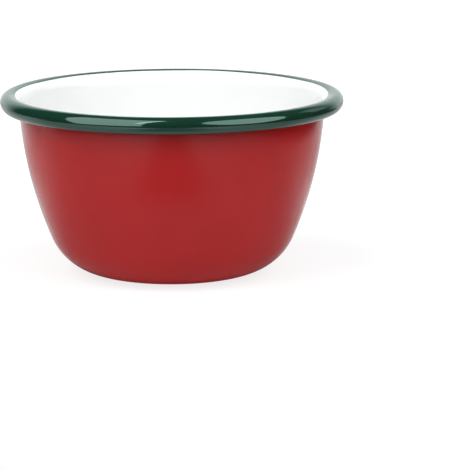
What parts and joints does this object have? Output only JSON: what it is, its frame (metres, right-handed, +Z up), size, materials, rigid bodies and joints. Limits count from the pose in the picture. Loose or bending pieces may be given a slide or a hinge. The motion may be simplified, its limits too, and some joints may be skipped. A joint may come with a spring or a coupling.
{
  "type": "dipping bowl",
  "caption": "Round enamelled steel dipping bowl, red outside and white inside, with a rolled green rim, a flat base and a small rosette on its floor.",
  "frame": {"origin": "middle of the base, on the table", "axes": "+Z up along the bowl's axis, -Y towards the picture's viewer"},
  "size_m": [0.12, 0.12, 0.0634],
  "materials": {
    "steel": "pressed sheet, hidden under the enamel",
    "white_enamel": "gloss",
    "red_enamel": "gloss",
    "green_enamel": "gloss",
    "red_print": "gloss",
    "green_print": "gloss"
  },
  "bodies": {
    "root": {"steel_shell": "steel", "white_lining_enamel": "white_enamel", "red_outer_enamel": "red_enamel", "green_rim_enamel": "green_enamel", "print_centre": "green_print", "print_petal_1": "red_print", "print_petal_2": "red_print", "print_petal_3": "red_print", "print_petal_4": "red_print", "print_petal_5": "red_print", "print_petal_6": "red_print", "print_leaf_1": "green_print", "print_leaf_2": "green_print", "print_leaf_3": "green_print", "print_leaf_4": "green_print", "print_leaf_5": "green_print", "print_leaf_6": "green_print"}
  },
  "joints": []
}
